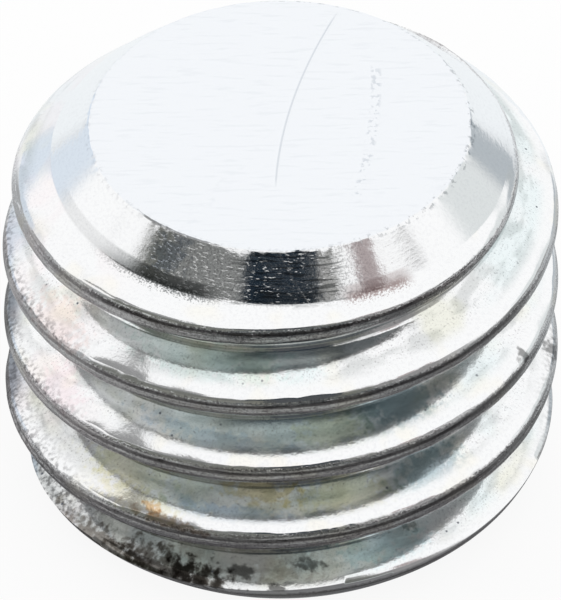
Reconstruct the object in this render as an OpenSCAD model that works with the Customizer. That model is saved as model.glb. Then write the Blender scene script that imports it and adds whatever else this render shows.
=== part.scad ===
// Grub set screw: socket set screw with a flat point and a metric coarse thread, zinc-plated steel.
// It stands on its socket end: the end face lies in the plane Z = 0, and +Z runs along the axis
// towards the flat point. Sizes are in millimetres and angles in degrees.

/* [Thread] */
// Nominal diameter of the thread
thread_d = 8; // [7.6:0.1:10]
// Axial distance from one crest to the next
pitch = 1.25; // [1:0.05:1.5]
// Angle between the two flanks of the groove
flank_angle = 60; // [55:1:62]
// How far the rolled crests stay below the nominal radius
crest_drop = 0.10; // [0.05:0.01:0.12]
// How far the flanks stay inside the basic profile, measured along the radius
flank_drop = 0.025; // [0:0.005:0.05]
// Radius of the rounded root at the bottom of the groove
root_radius = 0.17; // [0.12:0.01:0.2]
// Direction, seen from the point, in which the middle of the groove leaves the end face
thread_start = -19; // [-180:1:180]

/* [Body] */
// Length from the socket end to the flat point
screw_length = 6; // [5:0.1:16]

/* [Flat point] */
// Diameter of the flat point
point_d = 5.32; // [4.8:0.02:5.6]
// Slope of the chamfer round the point, measured from the flat face
point_slope = 45; // [40:1:50]
// Radius of the rounded valley between the chamfer and the first thread
valley_radius = 0.12; // [0.10:0.01:0.24]
// How far the bottom of the valley lies inside the root of the groove
valley_sink = 0.06; // [0:0.01:0.1]
// Distance from the flat point at which the crests reach their full size
point_fade = 2.05; // [1.2:0.05:2.4]
// Radius of the curve that the crests follow towards the point
point_fade_radius = 3.75; // [3:0.05:4.5]

/* [Lip of the first thread] */
// Slope of the shelf between the valley and the lip, measured from the flat face
shelf_slope = 10; // [6:1:30]
// How far the radius of the lip stays inside that of the crests
lip_drop = 0.34; // [0.3:0.01:0.4]
// How far the centre of the lip lies beside the axis
lip_shift = 0.245; // [0.2:0.005:0.3]
// Direction of that shift, measured from where the groove runs out
lip_turn = 71; // [60:1:80]

/* [Socket end] */
// Diameter of the end face, at the inner edge of its 45 degree chamfer
end_d = 6.5; // [6.2:0.05:6.6]
// Distance from the end face at which the crests reach their full size
end_fade = 1.30; // [1:0.05:1.6]
// Radius of the curve that the crests follow towards the end face
end_fade_radius = 1.65; // [1.5:0.05:2.5]

/* [Hexagon socket] */
// Distance across the flats of the hexagon
socket_af = 4; // [3:0.1:4.8]
// Depth of the flats below the end face
socket_depth = 3; // [2:0.1:3.6]
// How far the countersunk mouth reaches past the corners of the hexagon
mouth_margin = 0.16; // [0.05:0.01:0.2]
// Full angle of the countersink, and of the cone at the bottom of the socket
socket_cone_angle = 120; // [110:1:130]

/* [Hidden] */
zinc = "#cfd4d8";
round_fn = 96;
turn_steps = 48;
root_steps = 4;
spare = 0.1;

// Thread profile: the two flanks of the groove would meet at the vertex, under the root arc.
half_angle = flank_angle / 2;
flank_height = pitch / 2 / tan(half_angle);
pitch_r = thread_d / 2 - 3 / 8 * flank_height - flank_drop;
vertex_r = pitch_r - flank_height / 2;
root_centre_r = vertex_r + root_radius / sin(half_angle);
root_r = root_centre_r - root_radius;
crest_r = thread_d / 2 - crest_drop;
cutter_r = crest_r + spare;
cutter_half_width = (cutter_r - vertex_r) * tan(half_angle);

// Point end: the chamfer runs down to the valley, and a shelf leads from there to the first thread.
point_r = point_d / 2;
valley_r = root_r - valley_sink;
valley_z = screw_length - (valley_r - point_r) * tan(point_slope);
valley_centre_r = valley_r + valley_radius;
shelf_r = valley_centre_r - valley_radius * sin(shelf_slope);
shelf_z = valley_z - valley_radius * cos(shelf_slope);
outer_r = crest_r + 1;
outer_z = shelf_z - (outer_r - shelf_r) * tan(shelf_slope);
inner_r = valley_r + valley_radius / 2;
inner_z = screw_length - (inner_r - point_r) * tan(point_slope);
point_fade_z = screw_length - point_fade;

// Lip: a plane inside the groove below it parts it from the next thread. The plane rises by half
// a pitch across the screw, as the groove does, and is highest a little before the run-out.
run_out = thread_start + 360 * valley_z / pitch;
lip_r = crest_r - lip_drop;
plane_lag = 41;
plane_z = valley_z - 0.42 * pitch;
plane_tilt = atan(pitch / 2 / (2 * crest_r));

// Socket end.
end_r = end_d / 2;
socket_corner_r = socket_af / 2 / cos(30);
mouth_r = socket_corner_r + mouth_margin;
cone_slope = tan(90 - socket_cone_angle / 2);

// The cutter of the groove starts below the end face and ends in the air above the shelf.
first_z = -pitch / 2 - spare;
last_z = shelf_z + cutter_half_width;
ring_count = ceil((last_z - first_z) / pitch * turn_steps);

// One section of the groove in a plane through the axis: [radius, height above its middle].
groove_section = concat(
    [[cutter_r, -cutter_half_width]],
    [for (i = [0 : root_steps])
        let (a = (i / root_steps - 1 / 2) * (180 - flank_angle))
        [root_centre_r - root_radius * cos(a), root_radius * sin(a)]],
    [[cutter_r, cutter_half_width]]
);

// Section number i of the cutter, turned and lifted along the right-hand helix.
function groove_ring(i) =
    let (z = first_z + i * pitch / turn_steps)
    let (a = thread_start + 360 * z / pitch)
    [for (p = groove_section) [p[0] * cos(a), p[0] * sin(a), z + p[1]]];

// The groove of the thread as one closed sweep of its section.
module thread_groove() {
    n = len(groove_section);
    end = ring_count * n;
    points = [for (i = [0 : ring_count]) each groove_ring(i)];
    sides = [for (i = [0 : ring_count - 1], j = [0 : n - 1])
        let (a = i * n + j)
        let (b = i * n + (j + 1) % n)
        each [[a, b + n, b], [a, a + n, b + n]]];
    start_cap = [for (j = [1 : n - 2]) [0, j, j + 1]];
    end_cap = [for (j = [1 : n - 2]) [end, end + j + 1, end + j]];
    polyhedron(points, concat(sides, start_cap, end_cap));
}

// Half section of the blank with sharp crests: end face and chamfer, shelf, valley, point.
module sharp_half_section() {
    difference() {
        polygon([
            [0, 0], [end_r, 0], [outer_r, outer_r - end_r], [outer_r, outer_z],
            [shelf_r, shelf_z], [inner_r, inner_z], [point_r, screw_length], [0, screw_length]
        ]);
        translate([valley_centre_r, valley_z]) circle(r = valley_radius, $fn = round_fn);
    }
}

// Room for the crests: full size along the middle, curving in towards both ends.
module crest_room() {
    square([root_r, screw_length]);
    translate([0, end_fade]) square([crest_r, point_fade_z - end_fade]);
    translate([crest_r - point_fade_radius, point_fade_z]) circle(r = point_fade_radius, $fn = round_fn);
    translate([crest_r - end_fade_radius, end_fade]) circle(r = end_fade_radius, $fn = round_fn);
}

// Turned blank before the thread is rolled in.
module blank() {
    rotate_extrude($fn = round_fn)
        intersection() {
            sharp_half_section();
            crest_room();
        }
}

// What the lip lacks of a full thread: all that lies above the groove and outside the lip's own
// circle, whose centre is beside the axis. The lip starts low and grows into a full crest.
module lip_waste() {
    difference() {
        translate([0, 0, plane_z])
            rotate([0, -plane_tilt, run_out - plane_lag])
                cylinder(r = outer_r, h = pitch, $fn = round_fn);
        rotate(run_out + lip_turn)
            translate([lip_shift, 0, plane_z - pitch])
                cylinder(r = lip_r, h = 3 * pitch, $fn = round_fn);
    }
}

// Hexagon socket with its countersunk mouth and the cone that the punch leaves at the bottom.
module hex_socket() {
    flat_r = socket_af / 2;
    translate([0, 0, -spare])
        cylinder(r = socket_corner_r, h = socket_depth + spare, $fn = 6);
    translate([0, 0, -spare])
        cylinder(r1 = mouth_r + spare / cone_slope, r2 = 0, h = mouth_r * cone_slope + spare, $fn = round_fn);
    translate([0, 0, socket_depth])
        cylinder(r1 = flat_r, r2 = 0, h = flat_r * cone_slope, $fn = round_fn);
}

// The whole screw is one piece of metal.
module set_screw() {
    color(zinc)
        difference() {
            blank();
            lip_waste();
            thread_groove();
            hex_socket();
        }
}

set_screw();
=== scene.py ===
# %% [markdown]
# # A grub set screw
# This lesson builds the looks of one small piece of hardware: a zinc-plated set screw with a flat point,
# standing on its socket end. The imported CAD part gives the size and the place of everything. Blender adds
# what rolling, pressing, tumbling and plating leave on the metal.

import math

import bpy
import numpy as np
from mathutils import Matrix, Vector, noise


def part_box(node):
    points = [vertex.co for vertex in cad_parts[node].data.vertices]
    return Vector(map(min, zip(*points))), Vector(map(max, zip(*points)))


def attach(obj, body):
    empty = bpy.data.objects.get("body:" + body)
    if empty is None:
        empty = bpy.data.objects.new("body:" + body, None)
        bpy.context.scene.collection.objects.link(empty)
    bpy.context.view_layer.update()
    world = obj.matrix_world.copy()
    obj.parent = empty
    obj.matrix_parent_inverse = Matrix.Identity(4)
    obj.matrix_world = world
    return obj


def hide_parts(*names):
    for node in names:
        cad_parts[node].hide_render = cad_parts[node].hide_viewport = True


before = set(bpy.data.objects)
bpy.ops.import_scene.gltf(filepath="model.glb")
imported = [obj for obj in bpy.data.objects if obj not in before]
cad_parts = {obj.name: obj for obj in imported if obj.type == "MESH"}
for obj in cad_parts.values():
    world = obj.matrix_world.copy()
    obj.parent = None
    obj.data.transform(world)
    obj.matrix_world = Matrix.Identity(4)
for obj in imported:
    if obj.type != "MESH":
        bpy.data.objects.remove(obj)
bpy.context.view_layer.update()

# %% [markdown]
# ## The sizes
# A screw is known by its thread. Its pitch, its flank angle and its hand are standard, and the rest follows
# from the CAD box: the screw's length is the box's height, and its crest radius is half the box's width.
# The lengths below are in millimetres, and MM turns them into metres where a mesh is made.

# %% The driving sizes
MM = 0.001
box_low, box_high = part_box("set_screw")
LENGTH = round((box_high[2] - box_low[2]) / MM, 3)
CREST_R = round((box_high[0] - box_low[0]) / 2 / MM, 3)

PITCH = 1.25
HALF_ANGLE = math.radians(30)
FLANK_SLOPE = 1 / math.tan(HALF_ANGLE)
ROOT_R = 3.198
ROOT_ROUND = 0.17
THREAD_START = math.radians(-19)

POINT_R = 2.66
VALLEY_R = 3.138
VALLEY_ROUND = 0.12
VALLEY_Z = LENGTH - (VALLEY_R - POINT_R)
RING_R = VALLEY_R + VALLEY_ROUND / 2
RING_Z = VALLEY_Z - VALLEY_ROUND / 2
END_R = 3.25
END_EDGE = 0.02
print(f"length {LENGTH} mm, crest radius {CREST_R} mm, pitch {PITCH} mm")

# %% [markdown]
# ## One tooth
# A rolled thread is one tooth drawn round a helix. In the plane of the axis the tooth runs from the middle
# of one groove to the middle of the next: half of a rounded root, a straight flank, a crest with soft
# shoulders, and the same again on the other side. By hand one would draw this outline vertex by vertex and
# give it the Screw modifier, and that is what happens here. Most of its points lie on the crest, because
# that is where a rolled thread has its seam and its nicks.

# %% The rows of the outline, and the helpers that shape it
ROOT_ROWS = 4
FLANK_ROWS = 6
CREST_ROWS = 14
FIRST_CREST_ROW = ROOT_ROWS + FLANK_ROWS
MIDDLE_ROW = FIRST_CREST_ROW + CREST_ROWS // 2
ROW_COUNT = 2 * (ROOT_ROWS + FLANK_ROWS) + CREST_ROWS + 1
TURN_STEPS = 432
TURNS = 6
end_angle = THREAD_START + math.tau * VALLEY_Z / PITCH
print("rows in the outline", ROW_COUNT)


def smooth_step(value, start, end):
    """0 before start, 1 after end, and an even curve between them."""
    share = np.clip((value - start) / (end - start), 0, 1)
    return share * share * (3 - 2 * share)


def smooth_min(a, b, width):
    """The lower of two values, with the corner between them rounded over the given width."""
    share = np.clip(0.5 + 0.5 * (b - a) / width, 0, 1)
    return b * (1 - share) + a * share - width * share * (1 - share)


def mix(a, b, share):
    return a * (1 - share) + b * share


# %% [markdown]
# ## The section of the thread at any angle
# Along most of the screw the section is always the same. Towards the flat point it changes: the groove above
# the first thread is no longer cut by the dies, and the chamfer's valley takes its place. The first thread
# is what is left between the two, a rolled lip that starts thin, stands up and grows into a full crest.
# Towards both ends the crests also sink along a curve. All this is a formula for the section's corners.

# %% The section's corners
TOP_FADE_Z, TOP_FADE_ROUND = 4.40, 1.10
SHOULDER = 0.09
LIP_START_R, LIP_GROWTH = 3.32, 0.47
LIP_LOW, LIP_RISE = 0.04, 0.20
VALLEY_RUN_IN = 0.17


def crest_limit(z):
    """Radius of the curve that the crests follow towards the flat point."""
    above = np.clip(z - TOP_FADE_Z, 0, TOP_FADE_ROUND)
    return CREST_R - TOP_FADE_ROUND + np.sqrt(TOP_FADE_ROUND**2 - above**2)


def groove_bottom(z):
    """Rounding of the groove as it runs into the valley: radius, centre, and where its middle is."""
    share = smooth_step(z, VALLEY_Z - VALLEY_RUN_IN, VALLEY_Z)
    rounding = mix(ROOT_ROUND, VALLEY_ROUND, share)
    shift = (math.sqrt(2) - 1) / 2 * rounding * share
    centre = np.array([mix(ROOT_R, VALLEY_R, share) + rounding + shift, z + shift])
    return rounding, centre, math.pi * (1 + share / 4)


def touch_angle(corner_r, corner_z, centre_r, centre_z, radius, side):
    """Direction in which a line from a corner touches the rounding at the bottom of a groove."""
    away = np.maximum(np.hypot(corner_r - centre_r, corner_z - centre_z), radius * 1.0001)
    return np.arctan2(corner_z - centre_z, corner_r - centre_r) + side * np.arccos(radius / away)


def lip_corners(angle, low_r, low_z):
    """Lower and upper corner of the rolled lip, by its angle before the run-out in degrees."""
    to_end = np.degrees(end_angle - angle)
    lower_r = LIP_START_R + LIP_GROWTH * smooth_step(to_end, 106, 281)
    lower_z = low_z + (lower_r - low_r + ROOT_ROUND) / FLANK_SLOPE
    height = LIP_LOW + LIP_RISE * smooth_step(to_end, 91, 231)
    upper_r = lower_r - 0.02 - 0.08 * smooth_step(to_end, 171, 311)
    return lower_r, lower_z, upper_r, lower_z + height


def section(angle):
    """Radius and height of every row of the outline, for a column of angles along the helix."""
    low_z = PITCH * (angle - THREAD_START) / math.tau
    high_z = np.minimum(low_z + PITCH, VALLEY_Z)
    low_round, low_centre, low_middle = groove_bottom(low_z)
    high_round, high_centre, high_middle = groove_bottom(high_z)
    low_r = low_centre[0] - low_round
    crest = crest_limit(low_z + PITCH / 2)
    to_corner = (crest - ROOT_R + ROOT_ROUND) / FLANK_SLOPE
    plain_corners = crest, low_z + to_corner, crest, low_z + PITCH - to_corner
    lip_share = smooth_step(np.degrees(angle - end_angle), -450, -360)
    corners = [mix(a, b, lip_share) for a, b in zip(plain_corners, lip_corners(angle, low_r, low_z))]
    lower, upper = np.array(corners[:2]), np.array(corners[2:])

    low_touch = touch_angle(*lower, *low_centre, low_round, 1)
    high_touch = touch_angle(*upper, *high_centre, high_round, -1)

    def on_arc(centre, radius, direction):
        return centre + radius * np.array([np.cos(direction), np.sin(direction)])

    def towards(start, goal):
        gap = np.maximum(np.hypot(*(goal - start)), 1e-6)
        return start + (goal - start) * np.minimum(SHOULDER / gap, 1)

    def bend(a, b, c, t):
        return a * (1 - t) ** 2 + b * 2 * t * (1 - t) + c * t**2

    low_end = on_arc(low_centre, low_round, low_touch)
    high_end = on_arc(high_centre, high_round, high_touch)
    low_shoulder, high_shoulder = towards(lower, low_end), towards(upper, high_end)
    middle = (lower + upper) / 2
    points = [on_arc(low_centre, low_round, mix(low_middle, low_touch, i / ROOT_ROWS))
              for i in range(ROOT_ROWS)]
    points += [mix(low_end, low_shoulder, i / FLANK_ROWS) for i in range(FLANK_ROWS)]
    half = CREST_ROWS // 2
    points += [bend(low_shoulder, lower, middle, i / half) for i in range(half)]
    points += [bend(middle, upper, high_shoulder, i / half) for i in range(half)]
    points += [mix(high_shoulder, high_end, i / FLANK_ROWS) for i in range(FLANK_ROWS)]
    points += [on_arc(high_centre, high_round, mix(high_touch, high_middle - math.tau, i / ROOT_ROWS))
               for i in range(ROOT_ROWS + 1)]
    full = np.array(points)

    first, last = full[0], full[-1]
    plain_band = np.array([mix(first, last, i / (ROW_COUNT - 1)) for i in range(ROW_COUNT)])
    run_out = smooth_step(np.degrees(angle - end_angle), -95, -55)
    return mix(full, plain_band, run_out)


print("outline at the end of the helix", section(np.array([end_angle])).shape)


# %% [markdown]
# ## What the dies leave on the crests
# The dies squeeze metal up from both sides, and the two waves of metal don't quite meet: they leave a seam
# along the crest, shallow here and deeper there. The shoulders beside it are ragged. These are real shapes,
# one or two hundredths of a millimetre deep, so they are moved into the mesh and not painted on. A seeded
# generator draws the same screw each time.

# %% Wear along the crests
dice = np.random.default_rng(8)
SEAM_ROW, SEAM_ROWS = MIDDLE_ROW + 2.0, 0.85
SEAM_DEPTH, RAGGED_DEPTH = 0.022, 0.014
SHOULDER_ROWS = 1.9


def wander(angles, wave):
    """A random curve along the helix, from about -1 to 1, with a wave length in millimetres."""
    run = (angles - angles[0]) * CREST_R / wave
    knots = dice.uniform(-1, 1, int(run[-1]) + 3)
    low = run.astype(int)
    return mix(knots[low], knots[low + 1], smooth_step(run - low, 0, 1))


def crest_wear(angles):
    """How deep every row and column lies under the clean section, in millimetres."""
    row = np.arange(ROW_COUNT)[:, None]
    slow, quick, fine = (wander(angles, wave) for wave in (1.7, 0.42, 0.15))
    seam_row = SEAM_ROW + 0.8 * slow + 0.5 * quick
    seam = SEAM_DEPTH * np.clip(0.55 + 0.5 * wander(angles, 1.1) + 0.25 * fine, 0, 1)
    depth = seam * np.exp(-(((row - seam_row) / SEAM_ROWS) ** 2))
    for side in (-1, 1):
        shoulder_row = MIDDLE_ROW + side * 5
        ragged = np.clip(0.2 + 0.55 * wander(angles, 0.5) + 0.5 * wander(angles, 0.16), -0.2, 1)
        depth = depth + RAGGED_DEPTH * ragged * np.exp(-(((row - shoulder_row) / SHOULDER_ROWS) ** 2))
    return depth


print("seam", SEAM_DEPTH, "mm deep, shoulders", RAGGED_DEPTH, "mm")


# %% [markdown]
# ## The thread
# The outline is drawn at the angle at which the helix starts, under the screw, so that the last of its turns
# ends exactly where the groove runs into the valley. The Screw modifier sweeps it round, and then every
# point of the sweep is moved to the section of its own angle. The end face is cut flat afterwards.

# %% Draw the tooth outline
def deselect_objects():
    """Leave nothing selected, so that an operator works only on what is selected next."""
    if bpy.context.mode != "OBJECT":
        bpy.ops.object.mode_set(mode="OBJECT")
    bpy.ops.object.select_all(action="DESELECT")


start_angle = end_angle - math.tau * TURNS
outline = section(np.array([start_angle]))[:, :, 0] * MM
deselect_objects()
bpy.ops.mesh.primitive_plane_add(size=MM, location=(outline[0][0], 0, outline[0][1]))
screw = bpy.context.active_object
screw.name = screw.data.name = "set_screw_body"
bpy.ops.object.mode_set(mode="EDIT")
bpy.ops.mesh.select_all(action="SELECT")
bpy.ops.mesh.merge(type="CENTER")
for i in range(1, ROW_COUNT):
    step = (outline[i][0] - outline[i - 1][0], 0, outline[i][1] - outline[i - 1][1])
    bpy.ops.mesh.extrude_region_move(TRANSFORM_OT_translate={"value": step})
bpy.ops.object.mode_set(mode="OBJECT")
bpy.ops.object.transform_apply(location=True, rotation=True, scale=True)
print("outline vertices", len(screw.data.vertices))

# %% [markdown]
# ## The helix
# The Screw modifier turns the outline round the axis and lifts it by one pitch with each turn, as a thread
# rises along its bolt. Spinning the outline by hand would do the same, but the modifier does all the turns at
# once. The number of steps in a turn is high enough for the edges of the crests to look round.

# %% Sweep it round the helix
helix = screw.modifiers.new("helix", "SCREW")
helix.axis = "Z"
helix.angle = math.tau
helix.screw_offset = PITCH * MM
helix.iterations = TURNS
helix.steps = helix.render_steps = TURN_STEPS
bpy.ops.object.modifier_apply(modifier=helix.name)
print("thread vertices", len(screw.data.vertices), "expected", ROW_COUNT * (TURNS * TURN_STEPS + 1))


# %% [markdown]
# ## From one section to many
# The sweep has the same section everywhere, but the real thread changes towards both ends. Each column of
# points is one angle along the helix, so the whole sweep is moved at once to the sections of its angles.
# The wear along the crests is taken off at the same time.

# %% Move every column to its own section
def read_points(piece):
    """The places of a piece's vertices, in millimetres."""
    points = np.empty(len(piece.data.vertices) * 3)
    piece.data.vertices.foreach_get("co", points)
    return points.reshape(-1, 3) / MM


def write_points(piece, points):
    piece.data.vertices.foreach_set("co", (points * MM).ravel())
    piece.data.update()


column_angles = start_angle + math.tau / TURN_STEPS * np.arange(TURNS * TURN_STEPS + 1)
radii, heights = np.moveaxis(section(column_angles), 1, 0)
run_in = 1 - smooth_step(np.degrees(column_angles - end_angle), -150, -95)
radii = radii - crest_wear(column_angles) * run_in
points = np.stack([radii * np.cos(column_angles), radii * np.sin(column_angles), heights], axis=-1)
points = points.transpose(1, 0, 2).reshape(-1, 3)
write_points(screw, points)
print("thread from radius", radii.min().round(3), "to", radii.max().round(3), "mm")

# %% [markdown]
# ## A map that follows the thread
# Dirt and rubbing marks follow the crests, so the finish has to know how far along the helix a place is, and
# how far from the middle of the crest. Both lengths are stored on the corners of the faces, in millimetres,
# because the edges between two turns are shared and have two such places.

# %% Store the run of the thread on the mesh
along = np.broadcast_to((column_angles - start_angle) * CREST_R, radii.shape)
outwards = np.diff(radii, axis=0, prepend=radii[:1])
upwards = np.diff(heights, axis=0, prepend=heights[:1])
across = np.cumsum(np.hypot(outwards, upwards), axis=0)
across = across - across[MIDDLE_ROW]
thread_run = np.stack([along, across, np.ones_like(across)], axis=-1).transpose(1, 0, 2).reshape(-1, 3)
corner_vertices = np.empty(len(screw.data.loops), dtype=int)
screw.data.loops.foreach_get("vertex_index", corner_vertices)
stored = screw.data.attributes.new("thread_run", "FLOAT_VECTOR", "CORNER")
stored.data.foreach_set("vector", thread_run[corner_vertices].ravel())
print(f"thread {along.max():.0f} mm long")

# %% [markdown]
# ## One skin
# Two neighbouring turns of the sweep meet in the middle of the groove, where each has its own points. They
# are merged, and the turns become one skin. The part of the helix below the end face is cut off.

# %% Close the helix and cut its end flat
TURN_GAP = 2e-3
CUT_GAP = 1e-6
bpy.ops.object.mode_set(mode="EDIT")
bpy.ops.mesh.select_all(action="SELECT")
bpy.ops.mesh.remove_doubles(threshold=TURN_GAP * MM)
bpy.ops.mesh.select_all(action="SELECT")
bpy.ops.mesh.bisect(
    plane_co=(0, 0, END_EDGE * MM), plane_no=(0, 0, 1), clear_inner=True, threshold=CUT_GAP * MM)
bpy.ops.object.mode_set(mode="OBJECT")
print("thread faces", len(screw.data.polygons))

# %% [markdown]
# ## The socket end of the thread
# The blank has a chamfer at its socket end, and the dies don't fill the crests there. Every point that
# stands outside the chamfer or the curve of the crests is pulled in to it.

# %% Round off the socket end
END_FADE_Z, END_FADE_ROUND = 1.30, 1.65
END_ROUND = 0.06


def end_limit(z):
    """Radius of the curve of the crests and of the chamfer at the socket end."""
    below = np.clip(END_FADE_Z - z, 0, END_FADE_ROUND)
    curve = CREST_R - END_FADE_ROUND + np.sqrt(END_FADE_ROUND**2 - below**2)
    return smooth_min(curve + 0.01 * (z > END_FADE_Z), END_R + z, END_ROUND)


points = read_points(screw)
radii = np.hypot(points[:, 0], points[:, 1])
low = points[:, 2] < END_FADE_Z
limited = np.where(low, smooth_min(radii, end_limit(points[:, 2]) + 0.0001, 0.03), radii)
points[:, :2] *= (limited / radii)[:, None]
write_points(screw, points)
print("low points pulled in", int((radii - limited > CUT_GAP).sum()))


# %% [markdown]
# ## The chamfer and the edge of the flat face
# The last turn of the thread leaves an open circle at the bottom of the chamfer. It is pulled up along the
# chamfer in rings, round the edge of the flat face, then inwards, and closed at the middle.

# %% Pull up the chamfer
EDGE_ROUND = 0.05
CHAMFER_RINGS = 10
EDGE_RINGS = 5
FACE_RADII = (2.6, 2.5, 2.2, 1.6, 0.9)
RING_SLACK = 0.008
CUT_SLACK = 1e-4


def select_points(test):
    """Select the vertices of the screw whose places pass the test, and go into edit mode."""
    deselect_objects()
    bpy.context.view_layer.objects.active = screw
    screw.select_set(True)
    chosen = test(read_points(screw))
    bpy.ops.object.mode_set(mode="EDIT")
    bpy.ops.mesh.select_mode(type="VERT")
    bpy.ops.mesh.select_all(action="DESELECT")
    bpy.ops.object.mode_set(mode="OBJECT")
    screw.data.vertices.foreach_set("select", chosen)
    bpy.ops.object.mode_set(mode="EDIT")


def select_open_edge(test):
    """Select the open edge of the mesh between the points that pass the test."""
    select_points(lambda p: ~test(p))
    bpy.ops.mesh.hide(unselected=False)
    bpy.ops.mesh.select_mode(type="EDGE")
    bpy.ops.mesh.select_non_manifold(
        extend=False, use_wire=False, use_multi_face=False, use_non_contiguous=False, use_verts=False)
    bpy.ops.mesh.reveal(select=False)


def pull_ring(old_r, new_r, lift=0):
    """A new ring from the selected one, at a new radius and higher by the lift."""
    bpy.ops.mesh.extrude_region_move(TRANSFORM_OT_translate={"value": (0, 0, lift * MM)})
    bpy.ops.transform.resize(value=(new_r / old_r, new_r / old_r, 1), center_override=(0, 0, 0))


edge_in = EDGE_ROUND * math.tan(math.pi / 8)
edge_start = POINT_R + edge_in * math.cos(math.pi / 4)
chamfer_radii = np.linspace(RING_R, edge_start, CHAMFER_RINGS + 1)
edge_turns = np.linspace(math.pi / 4, math.pi / 2, EDGE_RINGS + 1)
edge_radii = POINT_R - edge_in + EDGE_ROUND * np.cos(edge_turns)
edge_heights = LENGTH - EDGE_ROUND + EDGE_ROUND * np.sin(edge_turns)
profile_r = np.concatenate([chamfer_radii, edge_radii[1:], FACE_RADII])
face_heights = [LENGTH] * len(FACE_RADII)
profile_z = np.concatenate([LENGTH + POINT_R - chamfer_radii, edge_heights[1:], face_heights])
select_open_edge(lambda p: p[:, 2] > RING_Z - RING_SLACK)
for i in range(1, len(profile_r)):
    pull_ring(profile_r[i - 1], profile_r[i], profile_z[i] - profile_z[i - 1])
bpy.ops.mesh.extrude_region_move()
bpy.ops.mesh.merge(type="CENTER")
bpy.ops.object.mode_set(mode="OBJECT")
print("faces with the flat face closed", len(screw.data.polygons))

# %% [markdown]
# ## The socket
# The hexagon socket is pressed into the other end. Its mouth is countersunk, its flats run straight in, and
# the punch leaves a blunt cone at the bottom. The loop at the end face is pulled inwards ring by ring, and
# the rings of the socket are then moved from the circle to the hexagon.

# %% The rings of the socket
SOCKET_FLAT_R = 2.0
SOCKET_DEPTH = 3.0
SOCKET_CORNER_R = SOCKET_FLAT_R / math.cos(math.radians(30))
MOUTH_R = SOCKET_CORNER_R + 0.16
CONE_SLOPE = math.tan(math.radians(30))
CORNER_ROUND = 0.04
END_FACE_RADII = (3.12, 2.95, 2.7, MOUTH_R + 0.02)
BEVEL = 0.02
FLAT_DEPTHS = (0.6, 1.4, 2.2, 2.9, SOCKET_DEPTH - BEVEL)
CONE_RADII = (1.6, 1.0, 0.4)


def hexagon_radius(angle):
    """Radius of the hexagon in a direction, with its corners rounded."""
    side = np.cos((angle % (math.pi / 3)) - math.pi / 6)
    return smooth_min(SOCKET_FLAT_R / side, np.full_like(side, SOCKET_CORNER_R), CORNER_ROUND)


def place_selected(radius, height):
    """Move the selected ring to a radius, which may depend on the direction, and a height."""
    bpy.ops.object.mode_set(mode="OBJECT")
    points = read_points(screw)
    chosen = np.empty(len(points), dtype=bool)
    screw.data.vertices.foreach_get("select", chosen)
    angle = np.arctan2(points[chosen, 1], points[chosen, 0])
    ring_radius = radius(angle)
    ring_height = height(angle, ring_radius)
    ring = [ring_radius * np.cos(angle), ring_radius * np.sin(angle), ring_height]
    points[chosen] = np.column_stack(ring)
    write_points(screw, points)
    bpy.ops.object.mode_set(mode="EDIT")


def plain(value):
    """The same value in every direction."""
    return lambda angle, *rest: np.full_like(angle, value)


def pull_to(radius, height):
    """A new ring from the selected one, at a radius and a height."""
    bpy.ops.mesh.extrude_region_move()
    place_selected(radius, height)


def countersink(angle, radius):
    return (MOUTH_R - radius) * CONE_SLOPE


def last_cone(angle, radius):
    return SOCKET_DEPTH + (SOCKET_FLAT_R - radius) * CONE_SLOPE


select_open_edge(lambda p: p[:, 2] < END_EDGE + CUT_SLACK)
pull_ring(END_R + END_EDGE, END_R, -END_EDGE)
for radius in END_FACE_RADII:
    pull_to(plain(radius), plain(0))
pull_to(plain(MOUTH_R - 0.015), countersink)
pull_to(lambda angle: hexagon_radius(angle) + BEVEL, countersink)
pull_to(hexagon_radius, lambda angle, radius: countersink(angle, radius) + BEVEL)
for depth in FLAT_DEPTHS:
    pull_to(hexagon_radius, plain(depth))
pull_to(lambda angle: hexagon_radius(angle) - BEVEL, plain(SOCKET_DEPTH))
pull_to(plain(SOCKET_FLAT_R - 0.03), last_cone)
for radius in CONE_RADII:
    pull_to(plain(radius), last_cone)
bpy.ops.mesh.extrude_region_move()
place_selected(plain(0.0), last_cone)
bpy.ops.mesh.merge(type="CENTER")
bpy.ops.object.mode_set(mode="OBJECT")
print("faces with the socket", len(screw.data.polygons))

# %% [markdown]
# ## The skin's outside
# Pulling rings up and down leaves a few points on top of each other, and faces that may point either way.
# The doubles are merged first, and then all normals are turned outwards. Edges sharper than the chosen angle
# stay crisp, and everything else is shaded smooth, as on rolled metal.

# %% Make the normals point outwards
DOUBLE_GAP = 1e-5
SMOOTH_BELOW = 50
bpy.ops.object.mode_set(mode="EDIT")
bpy.ops.mesh.select_all(action="SELECT")
bpy.ops.mesh.remove_doubles(threshold=DOUBLE_GAP * MM)
bpy.ops.mesh.normals_make_consistent(inside=False)
bpy.ops.object.mode_set(mode="OBJECT")
bpy.ops.object.shade_smooth_by_angle(angle=math.radians(SMOOTH_BELOW))
triangles = sum(len(face.vertices) - 2 for face in screw.data.polygons)
print("triangles", triangles)

# %% [markdown]
# The rings that were pulled up and inwards have copied the map of the thread from the edge that they started
# at. There is no thread on the chamfer, on the faces or in the socket, so the map's third number, which says
# where the thread is, goes to nought there.

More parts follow.
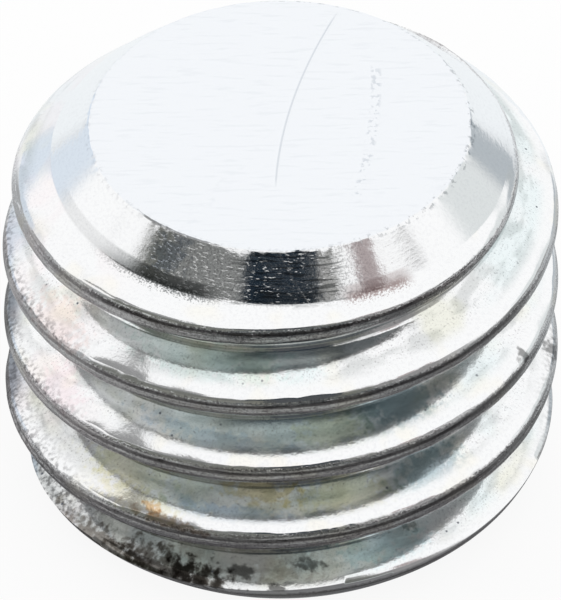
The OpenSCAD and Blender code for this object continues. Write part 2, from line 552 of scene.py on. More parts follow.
# %% Clear the stored run where there is no thread
points = read_points(screw)
radii = np.hypot(points[:, 0], points[:, 1])
bare = (points[:, 2] > RING_Z - 0.001) | (points[:, 2] < END_EDGE + 0.001) | (radii < ROOT_R - 0.08)
corner_vertices = np.empty(len(screw.data.loops), dtype=int)
screw.data.loops.foreach_get("vertex_index", corner_vertices)
stored = screw.data.attributes["thread_run"]
run_values = np.empty(len(corner_vertices) * 3)
stored.data.foreach_get("vector", run_values)
run_values = run_values.reshape(-1, 3)
run_values[bare[corner_vertices], 2] = 0
stored.data.foreach_set("vector", run_values.ravel())
print("corners off the thread", int(bare[corner_vertices].sum()))

# %% [markdown]
# ## The edge of the flat face
# The point is cropped from wire and chamfered, so the rim of its flat face isn't a clean circle: it has small
# chips and burrs all round. The rings of the rim are moved in and out a little, by a pattern of noise that
# has no seam because it is read in space.

# %% Chip the rim of the flat face
CHIP_DEPTH = 0.014
CHIP_WIDTH = 0.045
RIM_HEIGHT, RIM_WIDTH = 0.16, 0.11


def space_noise(point, per_mm):
    """Noise between about -1 and 1 at a point of space."""
    return noise.noise(Vector(point) * per_mm)


points = read_points(screw)
radii = np.hypot(points[:, 0], points[:, 1])
rim = np.flatnonzero((points[:, 2] > LENGTH - RIM_HEIGHT) & (radii > POINT_R - RIM_WIDTH))
nearness = np.exp(-(((radii[rim] - POINT_R) / CHIP_WIDTH) ** 2))
chips = np.array([space_noise(p, 3) * 0.5 + space_noise(p, 9) for p in points[rim]])
pulled = 1 - CHIP_DEPTH * nearness * np.clip(chips, -0.15, 0.6) / POINT_R
points[rim, :2] *= pulled[:, None]
points[rim, 2] -= 0.35 * CHIP_DEPTH * nearness * np.clip(chips, 0, 0.6)
write_points(screw, points)
print("rim vertices", len(rim))

# %% [markdown]
# ## The finish
# Bright zinc is a mirror a few thousandths of a millimetre thick. It isn't perfect: it is pitted, and a film
# over it, thinner than a wave of light, gives the grooves faint patches of olive and blue. So the colour is
# nearly white and fully metallic, and everything else is in the small things: a fine grain that breaks up
# the edges of reflections, pits that flash, dark specks of oil and dirt, streaks along the crests where the
# dies have rubbed, and a few scratches. All patterns are read in millimetres from the object's own place, or
# from the run of the thread that was stored on the mesh.


# %% A helper that builds materials node by node
class Finish:
    """A material in the making. Every method adds one node or two, and returns the result."""

    def __init__(self, name):
        self.material = bpy.data.materials.new(name)
        self.material.use_nodes = True
        self.tree = self.material.node_tree
        self.tree.nodes.clear()
        coords = self.node("TexCoord").outputs["Object"]
        self.place = self.node("VectorMath", {0: coords, "Scale": 1 / MM}, operation="SCALE").outputs[0]

    def node(self, kind, inputs=None, **settings):
        made = self.tree.nodes.new("ShaderNode" + kind)
        for name, value in settings.items():
            setattr(made, name, value)
        for slot, value in (inputs or {}).items():
            if isinstance(value, bpy.types.NodeSocket):
                self.tree.links.new(value, made.inputs[slot])
            else:
                made.inputs[slot].default_value = value
        return made

    def calc(self, operation, *values):
        return self.node("Math", dict(enumerate(values)), operation=operation).outputs[0]

    def product(self, *values):
        result = values[0]
        for value in values[1:]:
            result = self.calc("MULTIPLY", result, value)
        return result

    def ramp(self, value, low, high):
        """0 at low and 1 at high, with a smooth curve between them."""
        limits = {"Value": value, "From Min": low, "From Max": high}
        return self.node("MapRange", limits, interpolation_type="SMOOTHSTEP").outputs[0]

    def window(self, value, centre, half, soft):
        """1 within half of the centre, and 0 beyond the soft edge."""
        away = self.calc("ABSOLUTE", self.calc("SUBTRACT", value, centre))
        return self.ramp(away, half + soft, half)

    def split(self, vector):
        return self.node("SeparateXYZ", {0: vector}).outputs[:3]

    def stretched(self, vector, scale):
        return self.node("VectorMath", {0: vector, 1: scale}, operation="MULTIPLY").outputs[0]

    def clouds(self, vector, per_mm, detail=2, spot=(0, 0, 0)):
        shifted = self.node("VectorMath", {0: vector, 1: spot}, operation="ADD").outputs[0]
        return self.node("TexNoise", {"Vector": shifted, "Scale": per_mm, "Detail": detail}).outputs[0]

    def dots(self, vector, per_mm, size, share):
        """Round spots of a size in millimetres, in a share of the cells of a grid."""
        cells = self.node("TexVoronoi", {"Vector": vector, "Scale": per_mm})
        spot = self.ramp(cells.outputs["Distance"], size * per_mm, 0.4 * size * per_mm)
        chance = self.split(cells.outputs["Color"])[0]
        return self.product(spot, self.ramp(chance, share + 0.02, share - 0.02))

    def layer(self, under, over, share, blend="MIX"):
        mixed = self.node("Mix", {0: share, 6: under, 7: over}, data_type="RGBA", blend_type=blend)
        return mixed.outputs[2]

    def darken(self, under, *layers):
        """Multiply a colour by each tone in turn, by the tone's share."""
        for tone, share in layers:
            under = self.layer(under, tone, share, "MULTIPLY")
        return under

    def close(self, shader):
        """Lead the shader to the output, and hand over the material."""
        self.node("OutputMaterial", {"Surface": shader})
        return self.material


# %% [markdown]
# ## Where things are on the screw
# Before any colour is mixed, the finish needs to know its places: the radius and the turn round the axis, the
# run along the thread, where the grooves are and where the crests are. Noise of several sizes goes with them:
# a fine grain, powder, and streaks that are drawn out along the thread.

# %% The places on the screw that its finish follows
zinc = Finish("zinc_plated_steel")
place = zinc.place
x, y, z = zinc.split(place)
radius = zinc.calc("SQRT", zinc.calc("ADD", zinc.product(x, x), zinc.product(y, y)))
turn = zinc.calc("DEGREES", zinc.calc("ARCTAN2", x, zinc.product(y, -1)))
from_front = zinc.calc("ABSOLUTE", turn)
run = zinc.node("Attribute", attribute_name="thread_run", attribute_type="GEOMETRY").outputs["Vector"]
run_v, on_thread = zinc.split(run)[1:]
grain = zinc.clouds(place, 22, 2)
fine_grain = zinc.clouds(place, 42, 1, (4, 4, 4))
drift = zinc.calc("SUBTRACT", zinc.clouds(zinc.stretched(run, (0.9, 2, 0)), 1, 3), 0.5)
ragged = zinc.calc("SUBTRACT", zinc.clouds(place, 22, 5, (8, 2, 5)), 0.5)
powder = zinc.clouds(place, 34, 4, (5, 6, 2))
streaks = zinc.clouds(zinc.stretched(run, (1.2, 22, 0)), 1, 3)
across_crest = zinc.calc("MULTIPLY_ADD", drift, 0.05, run_v)
edge_of_crest = zinc.calc("MULTIPLY_ADD", zinc.ramp(z, 2.6, 5.2), 0.04, run_v)
edge_of_crest = zinc.calc("MULTIPLY_ADD", ragged, 0.16, edge_of_crest)
groove = zinc.product(on_thread, zinc.ramp(radius, 3.76, 3.56), zinc.ramp(z, 5.35, 5.15))
crest = zinc.product(on_thread, zinc.ramp(edge_of_crest, 0.145, 0.10), zinc.ramp(run_v, -0.19, -0.15))
left_side = zinc.ramp(turn, -28, -62)
print("nodes for the places", len(zinc.tree.nodes))

# %% [markdown]
# ## Zinc and its film
# The zinc itself is a cool near-white. The film on it is thickest where the dies haven't polished it, in the
# grooves, and it shifts from olive to blue in soft clouds. The tints are weak, because on a bright metal the
# surroundings do most of the colouring.

# %% The colour of the zinc and of the film on it
SILVER = (0.955, 0.962, 0.968, 1)
FACE_BLUE = (0.905, 0.930, 0.962, 1)
OLIVE = (0.86, 0.86, 0.74, 1)
BLUE = (0.87, 0.94, 0.95, 1)
ROSE = (0.99, 0.90, 0.91, 1)
CREAM = (0.99, 0.96, 0.86, 1)
face = zinc.ramp(z, 5.97, 5.99)
not_face = zinc.calc("SUBTRACT", 1, zinc.product(face, 0.9))
olive = zinc.product(groove, zinc.ramp(zinc.clouds(place, 0.9, 3), 0.50, 0.66), 0.7)
blue = zinc.ramp(zinc.clouds(place, 0.8, 3, (7, 3, 1)), 0.42, 0.62)
blue = zinc.product(groove, blue, zinc.ramp(turn, -50, -10))
rose = zinc.ramp(zinc.clouds(place, 1.1, 2, (3, 9, 4)), 0.48, 0.62)
rose = zinc.product(on_thread, left_side, rose, 0.4)
cream = zinc.product(on_thread, zinc.ramp(zinc.clouds(place, 1.3, 2, (1, 5, 8)), 0.54, 0.68), 0.5)
colour = zinc.layer(SILVER, FACE_BLUE, face)
colour = zinc.layer(colour, CREAM, cream)
colour = zinc.layer(colour, ROSE, rose)
colour = zinc.layer(colour, OLIVE, olive)
colour = zinc.layer(colour, BLUE, blue)
print("nodes with the film", len(zinc.tree.nodes))

# %% [markdown]
# Some patches have a place of their own: the film is olive here and steel blue there, oil has run down to
# the first thread from the socket and dried to a brown crust, and a spot of rust has started at the left.
# Each is given by its turn from the front towards the right in degrees and its height in millimetres, with
# half its width and half its height.

# %% Patches of film in the grooves
FILMS = {
    # name: (turn, height, half width, half height, colour, strength)
    "teal_under_lip": (-19, 4.48, 18, 0.16, (0.90, 0.98, 0.96), 0.9),
    "olive_second": (12, 3.30, 7, 0.13, (0.97, 0.95, 0.80), 0.9),
    "steel_blue_second": (-12, 3.15, 18, 0.06, (0.80, 0.88, 0.96), 0.9),
    "teal_second": (29, 3.42, 9, 0.15, (0.50, 0.60, 0.64), 0.85),
    "olive_third": (15, 2.06, 9, 0.16, (0.96, 0.93, 0.76), 0.9),
    "brown_third": (-5, 2.08, 7, 0.09, (0.88, 0.78, 0.54), 0.85),
    "olive_left": (-40, 1.95, 12, 0.17, (0.94, 0.93, 0.78), 0.9),
    "steel_blue_third": (-10, 1.87, 15, 0.06, (0.72, 0.82, 0.95), 0.9),
    "teal_third": (36, 2.10, 8, 0.14, (0.54, 0.64, 0.68), 0.85),
    "grey_fourth": (-12, 0.80, 16, 0.16, (0.72, 0.68, 0.66), 0.9),
    "pale_blue_fourth": (24, 0.90, 9, 0.14, (0.80, 0.94, 0.97), 0.9),
}


def patches(under, places, mask):
    """Patches with frayed edges over the colour under them, where the mask lets them."""
    for at_turn, at_height, half_width, half_height, tint, strength in places.values():
        sideways = zinc.product(zinc.calc("SUBTRACT", turn, at_turn), 1 / half_width)
        upwards = zinc.product(zinc.calc("SUBTRACT", z, at_height), 1 / half_height)
        away = zinc.calc("ADD", zinc.product(sideways, sideways), zinc.product(upwards, upwards))
        away = zinc.calc("ADD", zinc.calc("SQRT", away), fray)
        share = zinc.product(zinc.ramp(away, 1.5, 0.6), strength, mask)
        under = zinc.layer(under, (*tint, 1), share, "MULTIPLY")
    return under


fray = zinc.calc("MULTIPLY_ADD", zinc.clouds(place, 9, 8), 3.6, -1.8)
colour = patches(colour, FILMS, groove)
print("patches of film", len(FILMS))

# %% [markdown]
# The same helper lays the darker patches. They aren't kept to the grooves: dried oil runs over the crests,
# and a nick and a chipped edge are darker. One patch on the chamfer is a painted dark reflection. They
# multiply what is under them, so that the metal still shows through.

# %% Patches of oil, rust and dirt, dark marks at a nick and a chip, and one patch of painted shade
DIRT_AND_SHADE = {
    # name: (turn, height, half width, half height, colour, strength)
    "cream_left": (-34, 1.74, 10, 0.09, (0.95, 0.92, 0.76), 0.8),
    "rust_spot": (-29.5, 1.74, 1.8, 0.04, (0.88, 0.62, 0.40), 0.9),
    "brown_edge": (-24, 1.68, 8, 0.05, (0.50, 0.40, 0.34), 0.8),
    # Painted dark reflection on the upper chamfer.
    "chamfer_shade": (-32, 5.76, 5, 0.16, (0.44, 0.49, 0.56), 0.8),
    "rose_upper": (-57, 4.13, 8, 0.17, (0.985, 0.89, 0.87), 0.9),
    "rose_lower": (-56, 2.92, 6, 0.13, (0.985, 0.91, 0.93), 0.9),
    "crust_left": (-42, 0.50, 14, 0.09, (0.24, 0.21, 0.18), 0.85),
    "crust_middle": (-28, 0.55, 12, 0.13, (0.20, 0.18, 0.16), 0.9),
    "crust_front": (-19, 0.58, 7, 0.10, (0.14, 0.13, 0.12), 0.95),
    "oil_left": (-9.5, 0.70, 3.0, 0.04, (0.12, 0.12, 0.12), 0.8),
    "oil_right": (6.5, 0.79, 3.0, 0.035, (0.14, 0.14, 0.14), 0.8),
    "oil_low": (-1.5, 0.60, 2.0, 0.03, (0.15, 0.15, 0.15), 0.9),
    "oil_far_right": (33, 0.95, 2.0, 0.03, (0.3, 0.3, 0.28), 0.7),
    # Darker patches where the crests have a nick and a chip.
    "dark_nick": (62, 3.23, 1.4, 0.07, (0.28, 0.28, 0.28), 0.9),
    "dark_chip": (85, 2.05, 2.2, 0.09, (0.30, 0.30, 0.30), 0.9),
}
colour = patches(colour, DIRT_AND_SHADE, not_face)
print("patches of dirt", len(DIRT_AND_SHADE))

# %% [markdown]
# ## Rubbing, dust, specks and painted reflection
# The crests touch everything, so they are rubbed to a duller grey in streaks. Towards the front they are
# painted darker still, as a painted dark reflection of the floor in front. Painted shade draws a thin dark
# line along the seam between the two waves of metal, with a fainter painted reflection line on the lower
# shoulder. Dust gathers just above the crests at the sides, and there are specks of dirt in the grooves. Each
# is a pattern
# times a place: the pattern gives its grain and the place says where it may be.

# %% Grain, specks, the rubbed crests, and painted reflection and shade on the front crests
GRAIN_DARK = (0.955, 0.955, 0.96, 1)
SPECK = (0.09, 0.10, 0.13, 1)
GREY_DUST = (0.22, 0.215, 0.22, 1)
RUBBED_AND_DARK_REFLECTION = (0.66, 0.645, 0.65, 1)
PAINTED_CREST_SHADE_LINE = (0.30, 0.29, 0.295, 1)
POWDER = (0.42, 0.41, 0.42, 1)
GRIME = (0.78, 0.79, 0.785, 1)
clean = zinc.product(zinc.ramp(turn, -58, -82), zinc.ramp(z, 2.8, 4.6), 0.9)
worn = zinc.calc("SUBTRACT", 1, clean)
# Painted dark reflection: the crests are darker towards the front, where they mirror the floor in front.
painted_dark_front_crest = zinc.product(crest, zinc.ramp(from_front, 78, 30))
# Painted shade: a thin dark line along the seam of the front crests.
painted_seam_shade = zinc.window(across_crest, 0.045, 0.012, 0.030)
# Painted dark reflection: a fainter dark line along the lower shoulder of the front crests.
painted_low_reflection = zinc.product(zinc.window(across_crest, -0.105, 0.006, 0.022), zinc.ramp(streaks, 0.40, 0.55))
far_left = zinc.ramp(zinc.calc("MULTIPLY_ADD", ragged, 14, turn), -74, -86)
far_left = zinc.product(on_thread, far_left, zinc.ramp(z, 4.1, 3.7), zinc.ramp(run_v, 0.42, 0.25))
specks = zinc.dots(place, 7, 0.024, 0.30)
speck_share = zinc.product(groove, zinc.ramp(zinc.clouds(place, 1.6, 2, (2, 7, 7)), 0.40, 0.55))
dust_grains = zinc.clouds(place, 15, 5, (6, 1, 2))
near_crest = zinc.product(zinc.ramp(run_v, 0.42, 0.10), zinc.ramp(run_v, 0.07, 0.12))
near_crest = zinc.product(near_crest, zinc.ramp(z, 5.2, 4.4))
dusty_left = zinc.product(near_crest, zinc.ramp(turn, -36, -60), 0.95)
dusty_right = zinc.product(near_crest, zinc.ramp(turn, 60, 84), zinc.ramp(z, 3.0, 2.2), 0.6)
dusty_low = zinc.product(zinc.ramp(z, 1.9, 1.3), zinc.ramp(from_front, 42, 62), zinc.ramp(turn, 60, -60))
dusty = zinc.calc("MAXIMUM", zinc.calc("MAXIMUM", dusty_left, dusty_right), dusty_low)
dust = zinc.product(on_thread, dusty, zinc.ramp(dust_grains, 0.40, 0.66))
mottled = zinc.clouds(zinc.stretched(run, (1.1, 3.5, 0)), 1, 5, (9, 2, 4))
colour = zinc.darken(
    colour,
    (GRAIN_DARK, zinc.product(zinc.ramp(grain, 0.56, 0.30), not_face)),
    # painted dark reflection on the front crests; the next line is real rubbed streaks
    (RUBBED_AND_DARK_REFLECTION, painted_dark_front_crest),
    (RUBBED_AND_DARK_REFLECTION, zinc.product(crest, zinc.ramp(streaks, 0.42, 0.60), worn)),
    (POWDER, zinc.product(crest, zinc.ramp(powder, 0.46, 0.68), worn, 0.7)),
    (POWDER, zinc.product(groove, zinc.ramp(powder, 0.54, 0.74), 0.6)),
    (GRIME, zinc.product(groove, zinc.ramp(z, 3.0, 1.6), zinc.ramp(turn, 16, -6))),
    (GRIME, zinc.product(groove, zinc.ramp(mottled, 0.46, 0.60))),
    # painted shade in the seam and painted reflection on the lower shoulder, front crests only
    (PAINTED_CREST_SHADE_LINE, zinc.product(painted_dark_front_crest, painted_seam_shade)),
    (PAINTED_CREST_SHADE_LINE, zinc.product(painted_dark_front_crest, painted_low_reflection, 0.4)),
    (GREY_DUST, zinc.product(dust, 0.85)),
    (GREY_DUST, zinc.product(far_left, 0.8)),
)
spots = zinc.product(zinc.dots(place, 2.6, 0.034, 0.14), on_thread, left_side, zinc.ramp(z, 4.8, 4.2))
colour = zinc.layer(colour, SPECK, zinc.product(specks, speck_share))
colour = zinc.layer(colour, GREY_DUST, spots)
print("nodes with the dust", len(zinc.tree.nodes))

# %% [markdown]
# ## Soot in the valley
# The valley between the chamfer and the first thread is the one place that nothing wipes, so the polishing
# soot stays there. It is dark grey towards the front and left, and reddish at the right. It is
# thickest at the bottom and breaks up into powder on the shelf outside.

# %% The dirt in the valley under the chamfer
SOOT_AND_DARK_REFLECTION = (0.26, 0.27, 0.27, 1)
RED_SOOT = (0.50, 0.42, 0.41, 1)
above_thread = zinc.ramp(z, 5.37, 5.40)
valley = zinc.product(above_thread, zinc.window(radius, 3.15, 0.05, 0.035))
shelf = zinc.product(above_thread, zinc.window(radius, 3.26, 0.05, 0.10))
shelf_dust = zinc.calc("MULTIPLY_ADD", zinc.ramp(radius, 3.40, 3.18), 0.32, powder)
shelf_dust = zinc.product(shelf, zinc.ramp(shelf_dust, 0.62, 0.84))
sooty_left = zinc.product(zinc.ramp(turn, -60, -32), zinc.ramp(turn, -13, -22))
sooty_middle = zinc.window(turn, 2, 7, 4)
sooty_right = zinc.window(turn, 25, 6, 5)
sooty_far = zinc.product(zinc.window(turn, -60, 8, 10), 0.22)
sooty_front = zinc.calc("MAXIMUM", sooty_left, sooty_far)
sooty_front = zinc.calc("MAXIMUM", sooty_front, zinc.product(sooty_middle, 0.5))
valley = zinc.product(valley, zinc.calc("MULTIPLY_ADD", powder, -1.2, 1.5))
colour = zinc.darken(
    colour,
    (SOOT_AND_DARK_REFLECTION, zinc.product(valley, sooty_front)),
    (RED_SOOT, zinc.product(valley, sooty_right, 0.6)),
    (SOOT_AND_DARK_REFLECTION, zinc.product(shelf_dust, sooty_left)),
    (RED_SOOT, zinc.product(shelf_dust, sooty_right)),
)
print("nodes with the soot", len(zinc.tree.nodes))

# %% [markdown]
# ## Marks on the flat face
# The flat face shows every mark, because it is the one flat mirror on the screw. It has one long curved
# scratch, a scuff that is broken into dashes, faint brushing from side to side, and dust along the chipped
# rim. A scratch is a curve across the face with a width and two soft ends.

# %% The marks on the flat face
def hairline(curve, width, start, end):
    """A curved scratch on the flat face: x follows y along a parabola, from start to end."""
    offset, slope, bow = curve
    bend = zinc.calc("MULTIPLY_ADD", y, bow, slope)
    along = zinc.calc("MULTIPLY_ADD", y, bend, offset)
    away = zinc.calc("ABSOLUTE", zinc.calc("SUBTRACT", x, along))
    ends = zinc.product(zinc.ramp(y, start - 0.15, start + 0.15), zinc.ramp(y, end + 0.15, end - 0.15))
    return zinc.product(zinc.ramp(away, width, 0.35 * width), ends, face)


SCRATCH = (0.80, 0.82, 0.84, 1)
RIM_DUST = (0.62, 0.63, 0.64, 1)
long_scratch = hairline((0.085, 0.181, 0.053), 0.020, -1.25, 2.3)
scuff = zinc.product(hairline((1.305, 0.088, -0.041), 0.10, -1.6, 1.2),
                     zinc.ramp(zinc.clouds(place, 11, 3), 0.52, 0.60))
brushed = zinc.product(face, zinc.ramp(zinc.clouds(zinc.stretched(place, (2, 14, 1)), 1, 3), 0.54, 0.66))
rim = zinc.product(zinc.ramp(z, 5.90, 5.94), zinc.window(radius, 2.69, 0.02, 0.05))
rim_grain = zinc.ramp(zinc.clouds(place, 13, 3, (3, 3, 1)), 0.54, 0.60)
rim = zinc.product(rim, rim_grain, zinc.calc("MULTIPLY_ADD", zinc.ramp(turn, 0, 60), 0.7, 0.3))
scratched = zinc.calc("MAXIMUM", long_scratch, scuff)
colour = zinc.darken(colour, (SCRATCH, scratched), (SCRATCH, zinc.product(brushed, 0.18)), (RIM_DUST, rim))
print("nodes with the scratches", len(zinc.tree.nodes))

# %% [markdown]
# ## The turned chamfer
# The chamfer is cut by a tool while the wire turns, and the tool leaves fine lines round it and burnished
# flecks where the chip has dragged. Both are noise that is drawn out round the screw. Near the front the
# lines
# are painted dark: a painted reflection that breaks up the edge of the dark reflection on the chamfer. A
# single scratch crosses them, which the screw got in the barrel.

# %% Burnished flecks on the chamfer, its painted dark reflection streaks, and the scratch that crosses it
arc = zinc.product(turn, radius, math.pi / 180)
cap_run = zinc.node("CombineXYZ", {0: zinc.product(arc, 7), 1: zinc.product(z, 30), 2: 0.0}).outputs[0]
on_chamfer = zinc.product(zinc.ramp(z, 5.42, 5.46), zinc.ramp(radius, 2.66, 2.70))
fleck_run = zinc.stretched(cap_run, (1.7, 1.5, 0))
fleck_chance = zinc.clouds(fleck_run, 1, 4)
fleck_chance = zinc.calc("MULTIPLY_ADD", zinc.window(turn, -27, 7, 7), 0.05, fleck_chance)
fleck_chance = zinc.calc("MULTIPLY_ADD", zinc.clouds(place, 2.2, 2, (4, 1, 1)), 0.20, fleck_chance)
flecks = zinc.product(on_chamfer, zinc.window(turn, -12, 24, 7), zinc.ramp(fleck_chance, 0.71, 0.81))
# Painted dark reflection: turning lines painted dark near the front, at the ragged edges of the chamfer's
# dark reflection.
turning_lines_dark_reflection = zinc.clouds(zinc.stretched(cap_run, (0.35, 1.2, 0)), 1, 3, (2, 8, 0))
turning_lines_dark_reflection = zinc.product(on_chamfer, zinc.window(turn, 2, 12, 7), zinc.ramp(turning_lines_dark_reflection, 0.53, 0.60))
chamfer_powder = zinc.product(on_chamfer, zinc.window(turn, -8, 28, 8), zinc.ramp(powder, 0.46, 0.66))
colour = zinc.darken(
    colour,
    # painted dark reflection streaks
    (SOOT_AND_DARK_REFLECTION, zinc.product(turning_lines_dark_reflection, 0.8)),
    (POWDER, zinc.product(chamfer_powder, 0.6)),
)
scratch_turn = zinc.calc("MULTIPLY_ADD", zinc.calc("SUBTRACT", 5.9, z), 14, 0.6)
chamfer_scratch = zinc.ramp(zinc.calc("ABSOLUTE", zinc.calc("SUBTRACT", turn, scratch_turn)), 0.35, 0.1)
flecks = zinc.calc("MAXIMUM", flecks, zinc.product(on_chamfer, chamfer_scratch, 0.25))
print("nodes with the chamfer", len(zinc.tree.nodes))

# %% [markdown]
# ## Relief and gloss
# What is too fine for the mesh is left to a bump: the grain, the turning lines, and the ragged dashes along
# the crests. The heights are in millimetres: a few ten-thousandths for the grain, and up to two hundredths
# for the dashes on the crests. The crests and the flecks are a little rougher than the rest.

# %% Relief and gloss
turned = zinc.clouds(cap_run, 1, 2)
relief = zinc.product(grain, 0.0006)
relief = zinc.calc("MULTIPLY_ADD", fine_grain, 0.0003, relief)
relief = zinc.calc("MULTIPLY_ADD", zinc.clouds(place, 4, 2), 0.0020, relief)
relief = zinc.product(relief, not_face)
relief = zinc.calc("MULTIPLY_ADD", zinc.product(on_chamfer, turned), 0.0008, relief)
dashes = zinc.ramp(zinc.clouds(zinc.stretched(run, (3, 24, 0)), 1, 3, (3, 1, 1)), 0.60, 0.70)
relief = zinc.calc("MULTIPLY_ADD", zinc.product(crest, streaks), 0.006, relief)
relief = zinc.calc("MULTIPLY_ADD", zinc.product(crest, dashes), 0.016, relief)
relief = zinc.calc("MULTIPLY_ADD", zinc.product(crest, ragged), 0.010, relief)
relief = zinc.calc("MULTIPLY_ADD", flecks, 0.0016, relief)
bump = zinc.node("Bump", {"Height": relief, "Distance": MM, "Strength": 1.0}).outputs[0]
gloss = zinc.calc("MULTIPLY_ADD", zinc.clouds(place, 2.5, 2), 0.06, 0.07)
gloss = zinc.calc("MULTIPLY_ADD", crest, 0.12, gloss)
gloss = zinc.calc("MULTIPLY_ADD", flecks, 0.16, gloss)
metal = {"Base Color": colour, "Roughness": gloss, "Normal": bump, "Metallic": 1.0}
shader = zinc.node("BsdfPrincipled", metal)
screw.data.materials.clear()
screw.data.materials.append(zinc.close(shader.outputs[0]))
print("zinc nodes", len(zinc.tree.nodes))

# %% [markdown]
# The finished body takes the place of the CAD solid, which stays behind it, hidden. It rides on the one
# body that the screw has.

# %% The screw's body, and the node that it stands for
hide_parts("set_screw")
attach(screw, "root")
print("body", screw.name, "with", len(screw.data.vertices), "vertices")

# %% [markdown]
# ## The floor
# The floor is a plain white sheet. The camera and the metal see it lit evenly from edge to edge, and a share
# of it is left to the lamps, so that the screw keeps its shadow.

# %% Floor
FLOOR_SIZE = 0.6
FLOOR_GLOW = 0.90
deselect_objects()
bpy.ops.mesh.primitive_plane_add(size=FLOOR_SIZE, location=(0, 0, 0))
floor = bpy.context.active_object
floor.name = "white_floor"
sheet = Finish("white_floor")
ray = sheet.node("LightPath").outputs
seen = sheet.calc("MAXIMUM", ray["Is Camera Ray"], ray["Is Glossy Ray"])
seen = sheet.calc("MAXIMUM", seen, ray["Is Transmission Ray"])
paper = sheet.node("BsdfDiffuse", {"Color": (0.92, 0.92, 0.92, 1)}).outputs[0]
glow = sheet.node("Emission", {"Color": (1, 1, 1, 1), "Strength": 1.0}).outputs[0]
share = sheet.product(seen, FLOOR_GLOW)
mixed = sheet.node("MixShader", {0: share, 1: paper, 2: glow}).outputs[0]
floor.data.materials.append(sheet.close(mixed))
print("floor", FLOOR_SIZE, "m wide")

# %% [markdown]
# ## The tent and its dark panels
# A mirror shows nothing but what stands round it, so the look of a bright screw is made by its surroundings.
# It stands in a white tent that is open at the front, towards a dim room with the camera in it, and on a
# table whose front half is dim too. The tent and the table's dim part are seen by the metal only. Each panel
# is given by its direction from the screw: the turn from the front towards the right, and the height above
# the horizon, both in degrees.

# %% The panels of the tent
TENT_RADIUS = 0.45
TENT_PANELS = {
    # name: (turn, height, half width, half height, soft edge, colour)
    "grey_left": (-98, -2, 18, 10, 12, (0.34, 0.345, 0.35)),
    "pale_left": (-136, 3, 10, 12, 12, (0.72, 0.79, 0.87)),
    "high_left": (-82, 16, 5, 8, 9, (0.44, 0.45, 0.46)),
    "pale_right": (133, 3, 6, 8, 10, (0.46, 0.50, 0.53)),
    "grey_right": (92, -2, 22, 10, 14, (0.30, 0.30, 0.30)),
    "pale_far_right": (110, 18, 8, 8, 10, (0.74, 0.77, 0.77)),
    "soft_right": (62, 22, 9, 12, 8, (0.43, 0.43, 0.43)),
    "dim_right": (42, 10, 14, 25, 9, (0.28, 0.275, 0.275)),
    "dim_room": (-22, 14, 50, 30, 9, (0.165, 0.17, 0.155)),
    "room_top": (-44, 45, 23, 4, 4, (0.215, 0.22, 0.215)),
    "room_side": (26, 46, 4, 6, 3, (0.33, 0.33, 0.32)),
    "room_middle": (-26, 17, 26, 4, 8, (0.22, 0.22, 0.20)),
    "room_low": (8, 0, 20, 7, 12, (0.085, 0.095, 0.10)),
    "pink_post": (49, 43, 4, 4, 4, (0.40, 0.34, 0.34)),
    "left_frame": (-88, 49, 9, 7, 5, (0.29, 0.29, 0.29)),
    "left_post": (-62, 55, 12, 4, 3, (0.34, 0.34, 0.34)),
    "camera": (0, 50, 20, 5, 3, (0.012, 0.022, 0.034)),
    "stand": (4, 33, 12, 13, 5, (0.075, 0.08, 0.085)),
}


def only_in_metal(card):
    """Let the metal mirror this card, and hide it from the camera and the lamps."""
    card.visible_camera = False
    card.visible_diffuse = False
    card.visible_shadow = False
    card.visible_transmission = False
    card.visible_volume_scatter = False


deselect_objects()
bpy.ops.mesh.primitive_uv_sphere_add(segments=64, ring_count=32, radius=TENT_RADIUS, location=(0, 0, 0))
tent = bpy.context.active_object
tent.name = "tent"
cloth = Finish("tent_cloth")
cloth_x, cloth_y, cloth_z = cloth.split(cloth.place)
height = cloth.calc("ARCSINE", cloth.product(cloth_z, MM / TENT_RADIUS))
height = cloth.calc("DEGREES", height)
cloth_turn = cloth.calc("DEGREES", cloth.calc("ARCTAN2", cloth_x, cloth.product(cloth_y, -1)))
cloth_colour = (1, 1, 1, 1)
for at_turn, at_height, half_width, half_height, soft, panel in TENT_PANELS.values():
    across = cloth.window(cloth_turn, at_turn, half_width, soft)
    up = cloth.window(height, at_height, half_height, 0.6 * soft)
    cloth_colour = cloth.layer(cloth_colour, (*panel, 1), cloth.product(across, up))
cloth_glow = cloth.node("Emission", {"Color": cloth_colour}).outputs[0]
tent.data.materials.append(cloth.close(cloth_glow))
only_in_metal(tent)
print("tent panels", len(TENT_PANELS))

# %% [markdown]
# ## The table
# The lower half of the metal mirrors the table. It is pale behind the screw and dim in front and at the
# sides, and darkest far out in front. Close to the screw it is darker still: that part is a painted shadow of
# the screw. A disk just above the floor carries this, and only the metal sees it. Its parts are given by
# their turn and their distance from the axis.

# %% The dim part of the table
DIM_TABLE_RADIUS = 0.28
TABLE_LIFT = 1e-5
DIM_TABLE = {
    # name: (turn, half width, soft edge, from radius, to radius, soft radius, colour)
    "front": (-12, 82, 26, 0, 300, 1, (0.44, 0.455, 0.44)),
    "front_left": (-86, 18, 34, 0, 300, 1, (0.58, 0.59, 0.585)),
    "front_right": (56, 14, 20, 0, 300, 1, (0.33, 0.35, 0.35)),
    "left": (-116, 14, 14, 0, 300, 1, (0.40, 0.405, 0.41)),
    "right": (84, 34, 20, 0, 300, 1, (0.20, 0.205, 0.205)),
    "far_right": (118, 10, 16, 0, 300, 1, (0.50, 0.52, 0.53)),
    # Painted shadow of the screw on the table, seen only in the metal.
    "near": (-8, 70, 30, 0, 5.2, 1.2, (0.18, 0.18, 0.185)),
    "distance": (10, 24, 24, 26, 300, 14, (0.10, 0.11, 0.115)),
}
deselect_objects()
bpy.ops.mesh.primitive_circle_add(
    vertices=64, radius=DIM_TABLE_RADIUS, fill_type="NGON", location=(0, 0, TABLE_LIFT))
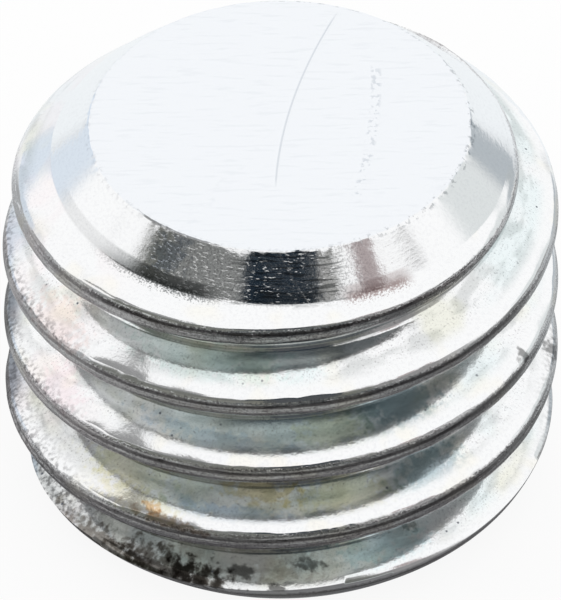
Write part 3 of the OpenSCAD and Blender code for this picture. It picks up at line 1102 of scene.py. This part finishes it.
table = bpy.context.active_object
table.name = "dim_table"
bpy.ops.object.transform_apply(location=True, rotation=True, scale=True)
top = Finish("dim_table")
top_x, top_y = top.split(top.place)[:2]
top_turn = top.calc("DEGREES", top.calc("ARCTAN2", top_x, top.product(top_y, -1)))
distance = top.calc("SQRT", top.calc("ADD", top.product(top_x, top_x), top.product(top_y, top_y)))
top_colour = (0.90, 0.93, 0.95, 1)
for at_turn, half_width, soft, near, far, soft_radius, panel in DIM_TABLE.values():
    share = top.product(
        top.window(top_turn, at_turn, half_width, soft),
        top.ramp(distance, near - soft_radius, near),
        top.ramp(distance, far + soft_radius, far),
    )
    top_colour = top.layer(top_colour, (*panel, 1), share)
table.data.materials.append(top.close(top.node("Emission", {"Color": top_colour}).outputs[0]))
only_in_metal(table)
print("table parts", len(DIM_TABLE))

# %% [markdown]
# ## The light
# The light is soft and plain. The world is white at a strength of 1, at which a colour renders as it is
# written, and one large lamp above and behind gives the shadow a direction.

# %% World and lamp
world = bpy.data.worlds.new("studio")
bpy.context.scene.world = world
world.use_nodes = True
world.node_tree.nodes["Background"].inputs["Color"].default_value = (1, 1, 1, 1)
world.node_tree.nodes["Background"].inputs["Strength"].default_value = 1.0

deselect_objects()
bpy.ops.object.light_add(type="AREA", location=(-0.06, 0.08, 0.28))
lamp = bpy.context.active_object
lamp.name = "overhead_lamp"
lamp.data.shape = "DISK"
lamp.data.size = 0.2
lamp.data.energy = 0.02
lamp.rotation_euler = lamp.location.to_track_quat("Z", "Y").to_euler()
lamp.visible_glossy = False
print("lamp energy", lamp.data.energy)

# %% [markdown]
# ## The camera
# The camera looks down at the screw from the front, at about 41 degrees, with a long lens that hardly
# narrows the far side. It is tilted by less than half a degree.

# %% Camera
VIEW_ELEVATION = math.radians(41.32)
VIEW_DISTANCE = 0.25
VIEW_TARGET = Vector((-0.0056, 0, 2.73)) * MM
VIEW_TILT = 0.0074
SENSOR = 36
FRAME_WIDTH = 7.896 * MM
look = Vector((0, math.cos(VIEW_ELEVATION), -math.sin(VIEW_ELEVATION)))
deselect_objects()
bpy.ops.object.camera_add(location=VIEW_TARGET - look * VIEW_DISTANCE)
camera = bpy.context.active_object
upright = look.to_track_quat("-Z", "Y").to_matrix()
camera.rotation_euler = (upright @ Matrix.Rotation(-VIEW_TILT, 3, "Z")).to_euler()
camera.data.sensor_fit = "HORIZONTAL"
camera.data.sensor_width = SENSOR
camera.data.lens = SENSOR * VIEW_DISTANCE / FRAME_WIDTH
camera.data.clip_start = 0.001
bpy.context.scene.camera = camera
bpy.context.scene.view_settings.view_transform = "Standard"
print(f"lens {camera.data.lens:.0f} mm")
